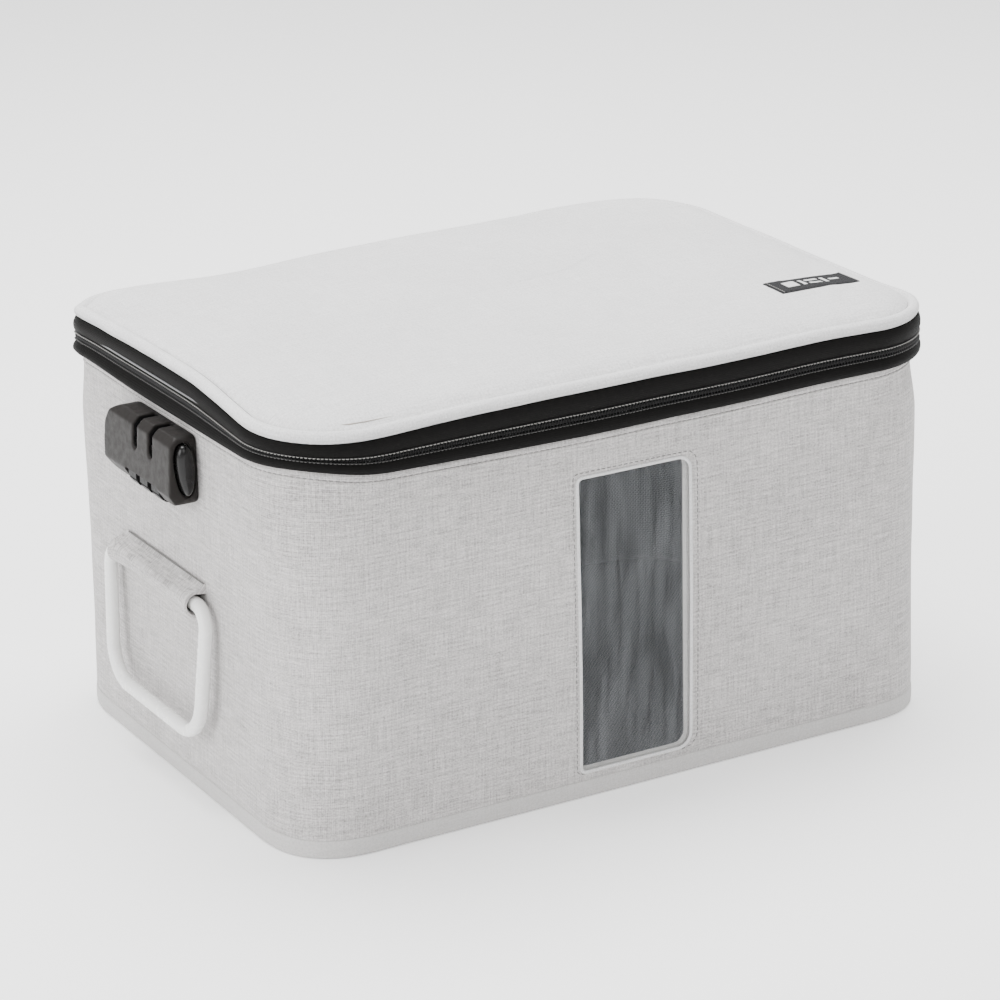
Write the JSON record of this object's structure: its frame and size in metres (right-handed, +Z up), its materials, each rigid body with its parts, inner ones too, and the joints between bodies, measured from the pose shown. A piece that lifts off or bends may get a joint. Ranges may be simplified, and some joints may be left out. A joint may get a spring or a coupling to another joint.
{
  "type": "fireproof document box",
  "caption": "Soft-sided lidded storage box for documents, with a clear front window, zip-round hinged lid, side combination lock and swinging end handles.",
  "frame": {"origin": "centre of the bottom panel's underside, where the box stands", "axes": "+Z up, X along the long side, -Y out of the front wall with the window, -X out of the wall with the lock"},
  "size_m": [0.3909, 0.27, 0.2227],
  "materials": {
    "grey_fabric": "light grey slubbed woven fabric, matte",
    "light_fabric": "paler grey binding and piping fabric, matte",
    "lid_fabric": "pale grey woven fabric over thin padding, matte",
    "black_tape": "black woven zip tape, matte",
    "label_fabric": "black woven label with a plain pale pattern",
    "zip_coil": "black nylon coil",
    "zip_metal": "black lacquered die-cast metal, semi-gloss",
    "fibre_board": "grey fibre board, rough",
    "foam": "pale closed-cell foam, rough",
    "silver_lining": "silver coated glass-fibre lining, satin",
    "clear_pvc": "clear soft PVC sheet, glossy",
    "lock_plastic": "dark grey moulded plastic, satin",
    "button_plastic": "black moulded plastic, glossy",
    "dial_plastic": "black ribbed plastic, satin",
    "handle_plastic": "off-white moulded plastic, semi-gloss",
    "steel": "zinc-plated steel, satin"
  },
  "bodies": {
    "box": {"bottom_panel": "light_fabric", "bottom_board": "fibre_board", "bottom_lining": "silver_lining", "bottom_binding": "light_fabric", "body_cover": "grey_fabric", "front_board": "fibre_board", "back_board": "fibre_board", "left_board": "fibre_board", "right_board": "fibre_board", "corner_pad_front_left": "foam", "corner_pad_front_right": "foam", "corner_pad_rear_left": "foam", "corner_pad_rear_right": "foam", "body_lining": "silver_lining", "window_pane": "clear_pvc", "window_facing": "foam", "lower_zip_tape": "black_tape", "lower_zip_coil": "zip_coil", "hinge_strip": "black_tape", "zip_stop_left": "zip_metal", "zip_stop_right": "zip_metal", "left_handle_sleeve": "grey_fabric", "right_handle_sleeve": "grey_fabric", "lock_housing": "lock_plastic", "lock_chassis": "steel", "lock_dial_shaft": "steel", "lock_backing_plate": "steel", "lock_screw_1": "steel", "lock_screw_2": "steel", "lock_spring": "steel"},
    "lid": {"upper_zip_tape": "black_tape", "upper_zip_coil": "zip_coil", "lid_piping": "light_fabric", "lid_top_panel": "lid_fabric", "lid_board": "fibre_board", "lid_lining": "silver_lining", "lid_label": "label_fabric"},
    "left_handle": {"left_handle": "handle_plastic"},
    "right_handle": {"right_handle": "handle_plastic"},
    "slider_front": {"zip_slider_front": "zip_metal"},
    "slider_rear": {"zip_slider_rear": "zip_metal"},
    "pull_front": {"zip_pull_front": "zip_metal"},
    "pull_rear": {"zip_pull_rear": "zip_metal"},
    "dial_1": {"lock_dial_1": "dial_plastic"},
    "dial_2": {"lock_dial_2": "dial_plastic"},
    "dial_3": {"lock_dial_3": "dial_plastic"},
    "release_button": {"lock_button": "button_plastic"},
    "latch": {"lock_latch": "steel"}
  },
  "joints": [
    {"name": "lid_hinge", "type": "hinge", "parent": "box", "child": "lid", "pos_m": [0, 0.135, 0.19625], "axis": [-1, 0, 0], "range_deg": [0, 110]},
    {"name": "left_handle_swing", "type": "hinge", "parent": "box", "child": "left_handle", "pos_m": [-0.1864, 0.008, 0.103], "axis": [0, 1, 0], "range_deg": [-4, 145]},
    {"name": "right_handle_swing", "type": "hinge", "parent": "box", "child": "right_handle", "pos_m": [0.1864, 0.008, 0.103], "axis": [0, -1, 0], "range_deg": [-4, 145]},
    {"name": "front_slider_slide", "type": "slide", "parent": "box", "child": "slider_front", "axis": [0, -1, 0], "range_m": [0, 0.078]},
    {"name": "rear_slider_slide", "type": "slide", "parent": "box", "child": "slider_rear", "axis": [0, 1, 0], "range_m": [0, 0.066]},
    {"name": "front_pull_swing", "type": "hinge", "parent": "slider_front", "child": "pull_front", "pos_m": [0.18775, 0.001, 0.19625], "axis": [0, 0, 1], "range_deg": [0, 150]},
    {"name": "rear_pull_swing", "type": "hinge", "parent": "slider_rear", "child": "pull_rear", "pos_m": [0.18775, 0.015, 0.19625], "axis": [0, 0, -1], "range_deg": [0, 150]},
    {"name": "dial_1_spin", "type": "hinge", "parent": "box", "child": "dial_1", "pos_m": [-0.1888, -0.015, 0.1564], "axis": [0, 1, 0], "continuous": true},
    {"name": "dial_2_spin", "type": "hinge", "parent": "box", "child": "dial_2", "pos_m": [-0.1888, -0.002, 0.1564], "axis": [0, 1, 0], "continuous": true},
    {"name": "dial_3_spin", "type": "hinge", "parent": "box", "child": "dial_3", "pos_m": [-0.1888, 0.011, 0.1564], "axis": [0, 1, 0], "continuous": true},
    {"name": "release_button_press", "type": "slide", "parent": "box", "child": "release_button", "axis": [0, 1, 0], "range_m": [0, 0.0036], "stiffness_N_per_m": 400, "springref_m": -0.001},
    {"name": "latch_slide", "type": "slide", "parent": "box", "child": "latch", "axis": [0, 1, 0], "range_m": [0, 0.0036]}
  ],
  "couplings": [
    {"joint": "latch_slide", "follows": "release_button_press", "ratio": 1}
  ]
}
